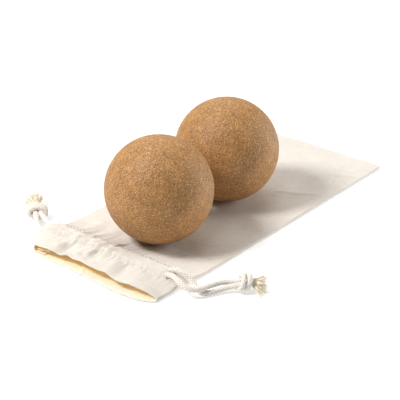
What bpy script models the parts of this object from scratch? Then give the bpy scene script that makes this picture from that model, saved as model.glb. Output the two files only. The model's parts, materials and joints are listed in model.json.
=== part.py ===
"""Two cork massage balls lying on their cotton drawstring pouch.

Frame: metres, +Z up. The origin is on the surface that the set lies on, under the middle of the flat pouch.
+X runs along the pouch from its mouth (low X) to its closed end (high X), and +Y is the side with the seam.
"""
import math

import bmesh
import bpy
from mathutils import Vector

SET_NAME = "cork_massage_ball_set"

# Driving dimensions
BALL_DIAMETER = 0.065
POUCH_LENGTH = 0.2276
POUCH_WIDTH = 0.1028
CLOTH = 0.0004          # thickness of the calico
CORD_DIAMETER = 0.003
CHANNEL_WIDTH = 0.0100  # between the two stitch lines that hold the drawcords
LIP_DEPTH = 0.0188      # pouch edge beyond the outer stitch line, back layer
FRONT_LIP_SETBACK = 0.0033
SEAM_ALLOWANCE = 0.0075
THREAD_DIAMETER = 0.0004
GAP = 0.0003            # air between pieces that touch on the real object

# Places along X
MOUTH_X = -POUCH_LENGTH / 2
CLOSED_X = POUCH_LENGTH / 2
OUTER_STITCH_X = MOUTH_X + LIP_DEPTH
INNER_STITCH_X = OUTER_STITCH_X + CHANNEL_WIDTH
CHANNEL_MID_X = (OUTER_STITCH_X + INNER_STITCH_X) / 2
LANE_SPREAD = 0.0046    # between the two cords that lie side by side in the channel
LANE_MOUTH_X = CHANNEL_MID_X - LANE_SPREAD / 2
LANE_BODY_X = CHANNEL_MID_X + LANE_SPREAD / 2
BODY_START_X = INNER_STITCH_X + 0.011   # the front layer has come down flat from the channel here

# Places along Y: the mouth is a little narrower than the body, because the drawcords gather it
BODY_SIDE_Y = POUCH_WIDTH / 2
CHANNEL_SEAM_Y = 0.0500
CHANNEL_FOLD_Y = -0.0490
LIP_SEAM_Y = 0.0465
LIP_FOLD_Y = -0.0465
FACING_SEAM_Y = 0.0436
FACING_FOLD_Y = -0.0318
SLIT_Y = -0.0430        # the cords' way out on the folded side
SLIT_WIDTH = 0.0048

# Heights, from the surface up through the layers (each is the middle of its cloth or cord)
CORD_RADIUS = CORD_DIAMETER / 2
BACK_Z = CLOTH / 2
INNER_LAYER_Z = BACK_Z + CLOTH + GAP
BODY_FRONT_Z = INNER_LAYER_Z + CLOTH + GAP
BACK_CORD_Z = CLOTH + GAP + CORD_RADIUS
BACK_FACING_Z = CLOTH + 2 * GAP + CORD_DIAMETER + CLOTH / 2
FRONT_FACING_Z = BACK_FACING_Z + CLOTH + GAP
FRONT_CORD_Z = FRONT_FACING_Z + CLOTH / 2 + GAP + CORD_RADIUS
CHANNEL_FRONT_Z = FRONT_CORD_Z + CORD_RADIUS + GAP + CLOTH / 2
STITCH_FRONT_Z = FRONT_FACING_Z + CLOTH + 2 * GAP
LIP_Z = 0.0078          # the mouth stands open under this edge
HEADER_LAYER_STEP = 0.0007   # between the two layers of the front header

# The front header lifts about this line, just past the outer stitches
HINGE_X = OUTER_STITCH_X - 0.0006
HINGE_Z = STITCH_FRONT_Z + CLOTH / 2
HEM_EDGE = 0.0025       # the facing's raw edge, past the inner stitch line
HEM_DROP = 0.0010       # the front facing's edge hangs this far down
SEAM_INSET = 0.0009     # from the pouch's edge to the cloth inside it

# Balls
BALL_RADIUS = BALL_DIAMETER / 2
BALL_Z = BODY_FRONT_Z + CLOTH / 2 + GAP + BALL_RADIUS
FRONT_BALL_XY = (-0.0534, -0.0041)
REAR_BALL_XY = (0.0158, -0.0001)

# Knots and frayed ends
KNOT_LENGTH = 0.0080
KNOT_RADIUS = 0.0046
RIGHT_KNOT_AT = Vector((-0.0681, -0.0794, 0.0049))
RIGHT_KNOT_HEADING = Vector((0.80, -0.60, 0.0))
RIGHT_TASSEL_HEADING = Vector((0.55, -0.83, -0.12)).normalized()
LEFT_KNOT_AT = Vector((-0.0775, 0.0745, 0.0049))
LEFT_KNOT_HEADING = Vector((0.63, 0.777, 0.0)).normalized()
LEFT_TASSEL_HEADING = Vector((0.60, 0.79, -0.07)).normalized()
TASSEL_NECK_RADIUS = 0.0018
TASSEL_TIP_RADIUS = 0.0030
RIGHT_TASSEL_LENGTH = 0.0095
LEFT_TASSEL_LENGTH = 0.0150


def clear_scene():
    for obj in list(bpy.data.objects):
        bpy.data.objects.remove(obj, do_unlink=True)


def new_collection(name):
    collection = bpy.data.collections.new(name)
    bpy.context.scene.collection.children.link(collection)
    return collection


def make_material(name, colour, roughness):
    material = bpy.data.materials.new(name)
    material.use_nodes = True
    shader = material.node_tree.nodes["Principled BSDF"]
    shader.inputs["Base Color"].default_value = (*colour, 1.0)
    shader.inputs["Roughness"].default_value = roughness
    shader.inputs["Metallic"].default_value = 0.0
    return material


def add_object(name, data, material, collection, location=(0.0, 0.0, 0.0)):
    obj = bpy.data.objects.new(name, data)
    obj.location = location
    data.materials.append(material)
    collection.objects.link(obj)
    return obj


# Cloth

def interpolate(value, table):
    """Straight-line reading of a list of (position, value) pairs, sorted by position."""
    if value <= table[0][0]:
        return table[0][1]
    for (low, at_low), (high, at_high) in zip(table, table[1:]):
        if value <= high:
            return at_low + (at_high - at_low) * (value - low) / (high - low)
    return table[-1][1]


def cloth_sheet(name, rows, material, collection, origin=(0.0, 0.0, 0.0)):
    """A sheet of cloth on a grid of points: rows of equal length along X, each from low Y to high Y."""
    mesh = bpy.data.meshes.new(name)
    shape = bmesh.new()
    grid = [[shape.verts.new(Vector(point) - Vector(origin)) for point in row] for row in rows]
    for row, next_row in zip(grid, grid[1:]):
        for left, right, next_left, next_right in zip(row, row[1:], next_row, next_row[1:]):
            shape.faces.new((left, next_left, next_right, right))
    shape.to_mesh(mesh)
    shape.free()
    sheet = add_object(name, mesh, material, collection, origin)
    solidify = sheet.modifiers.new("cloth thickness", "SOLIDIFY")
    solidify.thickness = CLOTH
    solidify.offset = 0.0
    return sheet


FOLD_SIDE = [
    (MOUTH_X, LIP_FOLD_Y),
    (OUTER_STITCH_X, CHANNEL_FOLD_Y),
    (INNER_STITCH_X, CHANNEL_FOLD_Y),
    (BODY_START_X, -BODY_SIDE_Y),
]
HEADER_FOLD_SIDE = [
    (MOUTH_X, LIP_FOLD_Y),
    (OUTER_STITCH_X, LIP_FOLD_Y),
]
SEAM_SIDE = [
    (MOUTH_X, LIP_SEAM_Y),
    (OUTER_STITCH_X, CHANNEL_SEAM_Y),
    (INNER_STITCH_X, CHANNEL_SEAM_Y),
    (BODY_START_X, BODY_SIDE_Y),
]


def back_panel(material, collection):
    stations = (MOUTH_X, OUTER_STITCH_X, INNER_STITCH_X, BODY_START_X, CLOSED_X)
    rows = [
        [(x, interpolate(x, FOLD_SIDE), BACK_Z), (x, 0.0, BACK_Z), (x, interpolate(x, SEAM_SIDE), BACK_Z)]
        for x in stations
    ]
    return cloth_sheet("pouch_back_panel", rows, material, collection)


FRONT_EDGE_X = OUTER_STITCH_X - 0.0004
CREST_HALF = LANE_SPREAD / 2 + CORD_RADIUS * 0.9
FRONT_PROFILE = [
    (FRONT_EDGE_X, STITCH_FRONT_Z),
    (OUTER_STITCH_X + 0.0004, STITCH_FRONT_Z),
    (CHANNEL_MID_X - CREST_HALF, CHANNEL_FRONT_Z),
    (CHANNEL_MID_X + CREST_HALF, CHANNEL_FRONT_Z),
    (INNER_STITCH_X + 0.0004, STITCH_FRONT_Z),
    (BODY_START_X, BODY_FRONT_Z),
    (CLOSED_X, BODY_FRONT_Z),
]
# How far the front layer stands up across the pouch: it comes down to the fold on one side only
LIFT_ACROSS = [
    (CHANNEL_FOLD_Y, 0.35),
    (SLIT_Y + SLIT_WIDTH / 2, 1.0),
    (CHANNEL_SEAM_Y, 1.0),
]


def front_height(x, y):
    rise = interpolate(x, FRONT_PROFILE) - BODY_FRONT_Z
    return BODY_FRONT_Z + rise * interpolate(y, LIFT_ACROSS)


def front_row(x):
    slit_stops = (SLIT_Y - SLIT_WIDTH / 2, SLIT_Y + SLIT_WIDTH / 2)
    across = (interpolate(x, FOLD_SIDE), *slit_stops, 0.0, interpolate(x, SEAM_SIDE))
    return [(x, y, front_height(x, y)) for y in across]


def slit_cutter(material, collection):
    bpy.ops.mesh.primitive_cube_add(size=1.0)
    cutter = bpy.context.active_object
    cutter.name = "slit_cutter"
    cutter.scale = (2 * CREST_HALF + 0.0034, SLIT_WIDTH, BALL_RADIUS)
    cutter.location = (CHANNEL_MID_X, SLIT_Y, FRONT_CORD_Z)
    for owner in list(cutter.users_collection):
        owner.objects.unlink(cutter)
    collection.objects.link(cutter)
    cutter.hide_render = True
    cutter.display_type = "WIRE"
    return cutter


def front_panel(material, collection, cutters):
    rows = [front_row(x) for x, _ in FRONT_PROFILE]
    panel = cloth_sheet("pouch_front_panel", rows, material, collection)
    slit = panel.modifiers.new("cord slit", "BOOLEAN")
    slit.operation = "DIFFERENCE"
    slit.solver = "EXACT"
    slit.object = slit_cutter(material, cutters)
    return panel


BACK_FACING_PROFILE = [
    (MOUTH_X + 0.0006, INNER_LAYER_Z),
    (OUTER_STITCH_X, INNER_LAYER_Z),
    (CHANNEL_MID_X - CREST_HALF, BACK_FACING_Z),
    (CHANNEL_MID_X + CREST_HALF, BACK_FACING_Z),
    (INNER_STITCH_X, INNER_LAYER_Z),
    (INNER_STITCH_X + HEM_EDGE, INNER_LAYER_Z),
]
FRONT_FACING_PROFILE = [
    (OUTER_STITCH_X, FRONT_FACING_Z),
    (INNER_STITCH_X, FRONT_FACING_Z),
    (INNER_STITCH_X + HEM_EDGE, FRONT_FACING_Z - HEM_DROP),
]


def facing(name, profile, material, collection):
    """The turned-in layer of the hem, which closes the drawcord channel on the inside of the pouch."""
    rows = [[(x, y, z) for y in (FACING_FOLD_Y, 0.0, FACING_SEAM_Y)] for x, z in profile]
    return cloth_sheet(name, rows, material, collection)


def front_header(material, collection):
    """The front edge of the mouth: cloth folded back on itself, free to lift about the outer stitch line."""
    edge_x = HINGE_X - GAP
    lip_x = MOUTH_X + FRONT_LIP_SETBACK
    profile = (
        (edge_x, STITCH_FRONT_Z),
        (lip_x, LIP_Z),
        (lip_x, LIP_Z - HEADER_LAYER_STEP),
        (edge_x, STITCH_FRONT_Z - HEADER_LAYER_STEP),
    )
    rows = [
        [(x, interpolate(x, HEADER_FOLD_SIDE), z), (x, 0.0, z), (x, interpolate(x, SEAM_SIDE), z)]
        for x, z in profile
    ]
    return cloth_sheet("pouch_front_header", rows, material, collection, (HINGE_X, 0.0, HINGE_Z))


def seam_allowance(name, low, high, material, collection):
    """A sewn cloth edge left inside the pouch, between its two layers."""
    rows = [[(x, y, INNER_LAYER_Z) for y in (low[1], high[1])] for x in (low[0], high[0])]
    return cloth_sheet(name, rows, material, collection)


# Thread and cord

def tube(name, points, diameter, material, collection):
    curve = bpy.data.curves.new(name, "CURVE")
    curve.dimensions = "3D"
    curve.bevel_depth = diameter / 2
    curve.bevel_resolution = 2
    curve.use_fill_caps = True
    spline = curve.splines.new("POLY")
    spline.points.add(len(points) - 1)
    for point, place in zip(spline.points, points):
        point.co = (*place, 1.0)
    return add_object(name, curve, material, collection)


def smooth_route(points, samples_per_span=2):
    """Points on a Catmull-Rom curve through the route's own points."""
    places = [Vector(point) for point in points]
    ends = [places[0] * 2 - places[1], *places, places[-1] * 2 - places[-2]]
    route = []
    for before, start, end, after in zip(ends, ends[1:], ends[2:], ends[3:]):
        for step in range(samples_per_span):
            t = step / samples_per_span
            route.append(
                0.5 * (
                    2 * start
                    + (end - before) * t
                    + (2 * before - 5 * start + 4 * end - after) * t ** 2
                    + (3 * start - before - 3 * end + after) * t ** 3
                )
            )
    route.append(places[-1])
    return route


def half_turn(x, y, side):
    """Places round a cord's upright half turn from the front channel down to the back one."""
    radius = (FRONT_CORD_Z - BACK_CORD_Z) / 2
    middle_z = (FRONT_CORD_Z + BACK_CORD_Z) / 2
    angles = [math.radians(90 - 45 * step) for step in range(5)]
    return [(x, y + side * radius * math.cos(angle), middle_z + radius * math.sin(angle)) for angle in angles]


def straight(x, y_start, y_end, z, spans):
    return [(x, y_start + (y_end - y_start) * step / spans, z) for step in range(spans + 1)]


# The right drawcord lies in the lane nearer the mouth and comes up through the slit with both ends.
RIGHT_CLIMB = [
    (-0.0916, -0.0345, 0.0025),
    (-0.0902, -0.0373, 0.0039),
    (-0.0889, -0.0396, 0.0060),
    (-0.0884, -0.0412, 0.0076),
]
RIGHT_UPPER_STRAND = [
    (-0.0923, -0.0404, 0.0069),
    (-0.0924, -0.0433, 0.0076),
    (-0.0931, -0.0467, 0.0087),
    (-0.0943, -0.0504, 0.0088),
    (-0.0956, -0.0547, 0.0079),
    (-0.0957, -0.0591, 0.0066),
    (-0.0939, -0.0628, 0.0056),
    (-0.0902, -0.0652, 0.0053),
    (-0.0855, -0.0664, 0.0052),
    (-0.0808, -0.0671, 0.0046),
    (-0.0767, -0.0685, 0.0045),
    (-0.0735, -0.0715, 0.0047),
    (-0.0711, -0.0751, 0.0049),
]
RIGHT_LOWER_STRAND = [
    (-0.0882, -0.0418, 0.0083),
    (-0.0879, -0.0450, 0.0094),
    (-0.0877, -0.0488, 0.0093),
    (-0.0872, -0.0525, 0.0080),
    (-0.0868, -0.0558, 0.0060),
    (-0.0870, -0.0588, 0.0039),
    (-0.0879, -0.0615, 0.0024),
    (-0.0882, -0.0637, 0.0019),
    (-0.0877, -0.0657, 0.0018),
    (-0.0865, -0.0674, 0.0018),
    (-0.0847, -0.0687, 0.0018),
    (-0.0815, -0.0702, 0.0021),
    (-0.0782, -0.0722, 0.0027),
    (-0.0756, -0.0748, 0.0035),
    (-0.0734, -0.0777, 0.0043),
]
# The left drawcord lies in the lane nearer the body and leaves through the gap in the side seam.
LEFT_UPPER_STRAND = [
    (LANE_BODY_X, 0.0423, FRONT_CORD_Z),
    (LANE_BODY_X, 0.0470, FRONT_CORD_Z),
    (-0.0874, 0.0515, 0.0068),
    (-0.0863, 0.0552, 0.0061),
    (-0.0842, 0.0594, 0.0053),
    (-0.0814, 0.0641, 0.0048),
    (-0.0789, 0.0693, 0.0049),
]
LEFT_LOWER_STRAND = [
    (LANE_BODY_X, 0.0423, BACK_CORD_Z),
    (LANE_BODY_X, 0.0470, BACK_CORD_Z),
    (-0.0881, 0.0518, 0.0022),
    (-0.0893, 0.0563, 0.0022),
    (-0.0892, 0.0606, 0.0024),
    (-0.0869, 0.0650, 0.0030),
    (-0.0837, 0.0688, 0.0040),
    (-0.0812, 0.0715, 0.0047),
]


def right_drawcord():
    turn = half_turn(LANE_MOUTH_X, 0.0436, 1)
    front_run = straight(LANE_MOUTH_X, RIGHT_UPPER_STRAND[0][1] + GAP, 0.036, FRONT_CORD_Z, 10)
    back_run = straight(LANE_MOUTH_X, 0.036, -0.030, BACK_CORD_Z, 8)
    return smooth_route([*front_run, *turn, *back_run, *RIGHT_CLIMB])


def left_drawcord():
    turn = half_turn(LANE_BODY_X, FACING_FOLD_Y + GAP, -1)
    end_y = LEFT_UPPER_STRAND[0][1] - GAP
    front_run = straight(LANE_BODY_X, end_y, -0.024, FRONT_CORD_Z, 8)
    back_run = straight(LANE_BODY_X, -0.024, end_y, BACK_CORD_Z, 8)
    return smooth_route([*front_run, *turn, *back_run])


# Knots and frayed ends

def overhand_knot(name, centre, heading, material, collection):
    """Two round wraps of cord, as one turned solid whose axis follows the strands through it."""
    half = KNOT_LENGTH / 2
    profile = (
        (0.0, half),
        (KNOT_RADIUS * 0.72, half),
        (KNOT_RADIUS * 0.96, half * 0.80),
        (KNOT_RADIUS, half * 0.50),
        (KNOT_RADIUS * 0.86, 0.0),
        (KNOT_RADIUS, -half * 0.50),
        (KNOT_RADIUS * 0.96, -half * 0.80),
        (KNOT_RADIUS * 0.72, -half),
        (0.0, -half),
    )
    mesh = bpy.data.meshes.new(name)
    edges = [(index, index + 1) for index in range(len(profile) - 1)]
    mesh.from_pydata([(radius, 0.0, height) for radius, height in profile], edges, [])
    knot = add_object(name, mesh, material, collection, centre)
    knot.rotation_mode = "QUATERNION"
    knot.rotation_quaternion = heading.to_track_quat("Z", "Y")
    screw = knot.modifiers.new("turned shape", "SCREW")
    screw.steps = 20
    screw.render_steps = 20
    screw.use_merge_vertices = True
    screw.merge_threshold = 0.00001
    return knot


def tassel(name, base, heading, length, material, collection):
    """The frayed cord end past a knot, as a flaring cone."""
    mesh = bpy.data.meshes.new(name)
    shape = bmesh.new()
    bmesh.ops.create_cone(
        shape,
        cap_ends=True,
        segments=12,
        radius1=TASSEL_NECK_RADIUS,
        radius2=TASSEL_TIP_RADIUS,
        depth=length,
    )
    shape.to_mesh(mesh)
    shape.free()
    end = add_object(name, mesh, material, collection, base + heading * length / 2)
    end.rotation_mode = "QUATERNION"
    end.rotation_quaternion = heading.to_track_quat("Z", "Y")
    return end


# Balls

def ball(name, place, material, collection):
    mesh = bpy.data.meshes.new(name)
    shape = bmesh.new()
    bmesh.ops.create_uvsphere(shape, u_segments=36, v_segments=20, radius=BALL_RADIUS)
    shape.to_mesh(mesh)
    shape.free()
    mesh.shade_smooth()
    return add_object(name, mesh, material, collection, (*place, BALL_Z))


def stitch_line(name, x, heights, material, collection):
    """One row of sewing thread across the pouch, resting on the cloth at the given (y, z) places."""
    lift = CLOTH / 2 + GAP + THREAD_DIAMETER / 2
    points = [(x, y, z + lift) for y, z in heights]
    return tube(name, points, THREAD_DIAMETER, material, collection)


def build_balls(collection):
    cork = make_material("cork", (0.50, 0.31, 0.15), 0.85)
    ball("ball_front", FRONT_BALL_XY, cork, collection)
    ball("ball_rear", REAR_BALL_XY, cork, collection)


def build_pouch(collection, cutters):
    calico = make_material("calico", (0.83, 0.78, 0.70), 0.9)
    thread = make_material("thread", (0.62, 0.58, 0.60), 0.7)
    back_panel(calico, collection)
    front_panel(calico, collection, cutters)
    facing("pouch_back_facing", BACK_FACING_PROFILE, calico, collection)
    facing("pouch_front_facing", FRONT_FACING_PROFILE, calico, collection)
    front_header(calico, collection)
    side_low = (BODY_START_X, BODY_SIDE_Y - SEAM_ALLOWANCE)
    side_high = (CLOSED_X - SEAM_ALLOWANCE - 2 * GAP, BODY_SIDE_Y - SEAM_INSET)
    seam_allowance("side_seam_allowance", side_low, side_high, calico, collection)
    bottom_low = (CLOSED_X - SEAM_ALLOWANCE, -BODY_SIDE_Y + SEAM_INSET)
    bottom_high = (CLOSED_X - SEAM_INSET, BODY_SIDE_Y - SEAM_INSET)
    seam_allowance("bottom_seam_allowance", bottom_low, bottom_high, calico, collection)
    build_stitching(thread, collection)


def build_stitching(thread, collection):
    inner_x = INNER_STITCH_X + 0.0009
    front_stops = (CHANNEL_FOLD_Y, SLIT_Y + SLIT_WIDTH / 2, CHANNEL_SEAM_Y)
    for name, x in (("front_inner_stitch", inner_x), ("front_outer_stitch", OUTER_STITCH_X)):
        stitch_line(name, x, [(y, front_height(x, y)) for y in front_stops], thread, collection)
    back_places = [(y, INNER_LAYER_Z) for y in (FACING_FOLD_Y, FACING_SEAM_Y)]
    for name, x in (("back_inner_stitch", inner_x), ("back_outer_stitch", OUTER_STITCH_X - 0.0006)):
        stitch_line(name, x, back_places, thread, collection)
    seam_line = SEAM_INSET - GAP - THREAD_DIAMETER / 2
    side_y = BODY_SIDE_Y - seam_line
    side_seam = [(BODY_START_X, side_y, INNER_LAYER_Z), (CLOSED_X - 2 * SEAM_INSET, side_y, INNER_LAYER_Z)]
    tube("side_seam_stitch", side_seam, THREAD_DIAMETER, thread, collection)
    bottom_x = CLOSED_X - seam_line
    end_y = BODY_SIDE_Y - 2 * SEAM_INSET
    bottom_seam = [(bottom_x, -end_y, INNER_LAYER_Z), (bottom_x, end_y, INNER_LAYER_Z)]
    tube("bottom_seam_stitch", bottom_seam, THREAD_DIAMETER, thread, collection)


def build_drawcords(collection):
    cotton = make_material("cotton cord", (0.80, 0.76, 0.70), 0.9)
    fray = make_material("frayed cotton", (0.84, 0.76, 0.62), 0.95)
    tube("right_drawcord", right_drawcord(), CORD_DIAMETER, cotton, collection)
    tube("left_drawcord", left_drawcord(), CORD_DIAMETER, cotton, collection)
    strands = (
        ("right_strand_upper", RIGHT_UPPER_STRAND),
        ("right_strand_lower", RIGHT_LOWER_STRAND),
        ("left_strand_upper", LEFT_UPPER_STRAND),
        ("left_strand_lower", LEFT_LOWER_STRAND),
    )
    for name, route in strands:
        tube(name, smooth_route(route), CORD_DIAMETER, cotton, collection)
    ends = (
        ("right", RIGHT_KNOT_AT, RIGHT_KNOT_HEADING, RIGHT_TASSEL_HEADING, RIGHT_TASSEL_LENGTH),
        ("left", LEFT_KNOT_AT, LEFT_KNOT_HEADING, LEFT_TASSEL_HEADING, LEFT_TASSEL_LENGTH),
    )
    for side, centre, knot_heading, tassel_heading, length in ends:
        overhand_knot(side + "_knot", centre, knot_heading, cotton, collection)
        base = centre + knot_heading * (KNOT_LENGTH / 2 + 3 * GAP)
        tassel(side + "_frayed_end", base, tassel_heading, length, fray, collection)


def main():
    clear_scene()
    parts = new_collection(SET_NAME)
    cutters = new_collection("cutters")
    build_balls(parts)
    build_pouch(parts, cutters)
    build_drawcords(parts)


main()
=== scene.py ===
"""The looks of the massage ball set: two cork balls standing on their calico drawstring pouch.

Metres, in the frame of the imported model: +X from the pouch's mouth to its closed end, +Z up.
"""
import json
import math
import random

import bmesh
import bpy
import numpy as np
from mathutils import Euler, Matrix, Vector, noise


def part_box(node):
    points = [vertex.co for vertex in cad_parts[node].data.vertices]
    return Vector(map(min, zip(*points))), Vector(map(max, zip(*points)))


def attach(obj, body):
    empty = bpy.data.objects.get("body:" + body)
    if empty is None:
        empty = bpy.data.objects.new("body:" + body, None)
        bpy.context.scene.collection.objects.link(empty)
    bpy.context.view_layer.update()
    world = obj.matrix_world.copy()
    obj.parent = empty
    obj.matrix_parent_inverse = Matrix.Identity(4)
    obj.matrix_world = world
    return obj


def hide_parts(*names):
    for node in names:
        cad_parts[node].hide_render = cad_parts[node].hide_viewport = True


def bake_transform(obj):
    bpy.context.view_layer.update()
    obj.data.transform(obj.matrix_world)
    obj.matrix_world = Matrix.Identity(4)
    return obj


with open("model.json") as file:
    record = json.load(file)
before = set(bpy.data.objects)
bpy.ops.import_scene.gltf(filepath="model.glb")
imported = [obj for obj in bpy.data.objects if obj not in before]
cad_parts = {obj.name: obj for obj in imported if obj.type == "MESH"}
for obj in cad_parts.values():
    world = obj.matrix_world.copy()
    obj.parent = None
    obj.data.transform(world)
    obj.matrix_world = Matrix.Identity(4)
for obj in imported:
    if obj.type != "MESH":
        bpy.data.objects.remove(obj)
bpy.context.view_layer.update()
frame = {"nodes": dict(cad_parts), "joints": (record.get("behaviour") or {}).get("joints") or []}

MM = 0.001

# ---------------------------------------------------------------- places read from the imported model

POUCH_LOW, POUCH_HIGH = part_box("pouch_back_panel")
MOUTH_X, CLOSED_X = POUCH_LOW[0], POUCH_HIGH[0]
BODY_SIDE = POUCH_HIGH[1]
FRONT_LIP_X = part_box("pouch_front_header")[0][0]
INNER_STITCH_X = sum(corner[0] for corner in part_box("front_inner_stitch")) / 2
OUTER_STITCH_X = sum(corner[0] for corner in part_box("front_outer_stitch")) / 2
CORD_DIAMETER = 3 * MM
CORD_RADIUS = CORD_DIAMETER / 2
HINGE_X = next(joint["pos_m"][0] for joint in frame["joints"] if joint["name"] == "mouth_opening")


def middle_of(node):
    low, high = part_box(node)
    return (Vector(low) + Vector(high)) / 2


# ---------------------------------------------------------------- camera, light and floor

CAMERA_TARGET = Vector((0.0042, 0.0121, 0.0))
CAMERA_AZIMUTH = math.radians(-50.6)
CAMERA_ELEVATION = math.radians(26.5)
CAMERA_DISTANCE = 0.986
CAMERA_ROLL = math.radians(-0.5)
CAMERA_LENS = 141.0
# Each soft light's name, direction, distance, size and power.
LIGHTS = [
    ("key light", (-0.54, 0.36, 0.77), 1.1, 0.30, 11.5),
    ("top light", (0.10, 0.10, 1.0), 1.3, 1.1, 6.6),
    ("back light", (0.55, 0.62, 0.55), 1.3, 0.9, 4.8),
    ("side light", (0.75, -0.50, 0.20), 0.9, 0.5, 5.8),
]
WORLD_GLOW = 0.06
FLOOR_HALF = 12.0
FLOOR_DROP = 0.1 * MM       # keeps the floor just under the cloth
FLOOR_GLOW = 0.45           # the paper under the set is lit until it reads white


def place_camera():
    camera = bpy.data.objects.new("camera", bpy.data.cameras.new("camera"))
    bpy.context.scene.collection.objects.link(camera)
    camera.data.lens = CAMERA_LENS
    camera.data.sensor_width = 36.0
    camera.data.clip_start = 0.01
    level = math.cos(CAMERA_ELEVATION)
    back = Vector((
        math.sin(CAMERA_AZIMUTH) * level,
        -math.cos(CAMERA_AZIMUTH) * level,
        math.sin(CAMERA_ELEVATION),
    ))
    camera.location = CAMERA_TARGET + back * CAMERA_DISTANCE
    turn = (-back).to_track_quat("-Z", "Y") @ Euler((0.0, 0.0, CAMERA_ROLL)).to_quaternion()
    camera.rotation_mode = "QUATERNION"
    camera.rotation_quaternion = turn
    bpy.context.scene.camera = camera


def add_area_light(name, direction, distance, size, power):
    """A square soft light that looks at the middle of the set from the given direction."""
    data = bpy.data.lights.new(name, "AREA")
    data.size = size
    data.energy = power
    light = bpy.data.objects.new(name, data)
    bpy.context.scene.collection.objects.link(light)
    towards = Vector(direction).normalized()
    light.location = towards * distance
    light.rotation_mode = "QUATERNION"
    light.rotation_quaternion = towards.to_track_quat("Z", "Y")


def light_the_set():
    for light in LIGHTS:
        add_area_light(*light)
    world = bpy.data.worlds.new("studio")
    world.use_nodes = True
    background = world.node_tree.nodes["Background"]
    background.inputs["Color"].default_value = (1.0, 1.0, 1.0, 1.0)
    background.inputs["Strength"].default_value = WORLD_GLOW
    bpy.context.scene.world = world
    bpy.context.scene.view_settings.view_transform = "Standard"


def lay_floor():
    mesh = bpy.data.meshes.new("floor")
    corners = [(FLOOR_HALF * x, FLOOR_HALF * y, 0.0) for x, y in ((-1, -1), (1, -1), (1, 1), (-1, 1))]
    mesh.from_pydata(corners, [], [(0, 1, 2, 3)])
    floor = bpy.data.objects.new("floor", mesh)
    floor.location.z = -FLOOR_DROP
    bpy.context.scene.collection.objects.link(floor)
    material, shader, _ = new_material("pale floor", (0.66, 0.66, 0.66), 0.9)
    shader.inputs["Specular IOR Level"].default_value = 0.1
    shader.inputs["Emission Color"].default_value = (1.0, 1.0, 1.0, 1.0)
    shader.inputs["Emission Strength"].default_value = FLOOR_GLOW
    mesh.materials.append(material)


# ---------------------------------------------------------------- materials

MOUTH_GLOW = 0.10           # stands for the daylight that comes through the thin cloth into the mouth
MOUTH_GLOW_DEPTH = (0.5, 12.0)      # millimetres inwards from the mouth, where the glow starts and is full
# Painted shade: the cord's grooves between the yarns are coloured darker, for the shade in them.
GROOVE_PAINTED_SHADE = (0.60, 0.54, 0.47)     # how much darker the grooves between the cord's yarns are


def new_material(name, colour, roughness):
    material = bpy.data.materials.new(name)
    material.use_nodes = True
    shader = material.node_tree.nodes["Principled BSDF"]
    shader.inputs["Base Color"].default_value = (*colour, 1.0)
    shader.inputs["Roughness"].default_value = roughness
    return material, shader, NodeTools(material.node_tree)


class NodeTools:
    """Short forms for the nodes that these materials share. Distances inside them are in millimetres."""

    def __init__(self, tree):
        self.tree = tree
        self.place = None

    def add(self, kind, **settings):
        node = self.tree.nodes.new(kind)
        for name, value in settings.items():
            setattr(node, name, value)
        return node

    def link(self, output, target):
        self.tree.links.new(output, target)

    def feed(self, socket, value):
        """Gives the socket another node's output, a number or a colour."""
        if isinstance(value, bpy.types.NodeSocket):
            self.link(value, socket)
        else:
            socket.default_value = (*value, 1.0) if isinstance(value, tuple) else value

    def millimetres(self, stretch=(1.0, 1.0, 1.0)):
        """The place on the object, in millimetres, stretched along its axes."""
        if self.place is None:
            self.place = self.add("ShaderNodeTexCoord").outputs["Object"]
        scaled = self.add("ShaderNodeMapping")
        scaled.inputs["Scale"].default_value = [1000.0 * s for s in stretch]
        self.link(self.place, scaled.inputs["Vector"])
        return scaled.outputs["Vector"]

    def noise(self, size, detail=3.0, roughness=0.5, stretch=(1.0, 1.0, 1.0)):
        """Soft noise whose lumps are about size millimetres across."""
        node = self.add("ShaderNodeTexNoise")
        node.inputs["Scale"].default_value = 1.0 / size
        node.inputs["Detail"].default_value = detail
        node.inputs["Roughness"].default_value = roughness
        self.link(self.millimetres(stretch), node.inputs["Vector"])
        return node.outputs["Fac"]

    def grains(self, size):
        """Cells about size millimetres across: distance to the middle, and three random values each."""
        node = self.add("ShaderNodeTexVoronoi")
        node.inputs["Scale"].default_value = 1.0 / size
        self.link(self.millimetres(), node.inputs["Vector"])
        parts = self.add("ShaderNodeSeparateColor")
        self.link(node.outputs["Color"], parts.inputs["Color"])
        return node.outputs["Distance"], parts.outputs

    def ramp(self, value, stops):
        node = self.add("ShaderNodeValToRGB")
        elements = node.color_ramp.elements
        while len(elements) < len(stops):
            elements.new(0.5)
        for element, (position, colour) in zip(elements, stops):
            element.position = position
            element.color = (*colour, 1.0)
        self.link(value, node.inputs["Fac"])
        return node.outputs["Color"]

    def mask(self, value, low, high):
        """0 below low and 1 above high, or the other way round where low is the larger."""
        node = self.add("ShaderNodeMapRange")
        node.inputs["From Min"].default_value = low
        node.inputs["From Max"].default_value = high
        self.link(value, node.inputs["Value"])
        return node.outputs["Result"]

    def maths(self, operation, first, second):
        node = self.add("ShaderNodeMath", operation=operation)
        self.feed(node.inputs[0], first)
        self.feed(node.inputs[1], second)
        return node.outputs["Value"]

    def mix(self, amount, first, second, blend="MIX"):
        node = self.add("ShaderNodeMix", data_type="RGBA", blend_type=blend)
        colours = [socket for socket in node.inputs if socket.type == "RGBA"]
        for socket, value in zip([node.inputs["Factor"], *colours], (amount, first, second)):
            self.feed(socket, value)
        return next(socket for socket in node.outputs if socket.type == "RGBA")

    def bump(self, height, distance, strength=1.0, under=None):
        """distance is the relief's depth in millimetres."""
        node = self.add("ShaderNodeBump")
        node.inputs["Strength"].default_value = strength
        node.inputs["Distance"].default_value = distance * MM
        self.link(height, node.inputs["Height"])
        if under is not None:
            self.link(under, node.inputs["Normal"])
        return node.outputs["Normal"]


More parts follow.
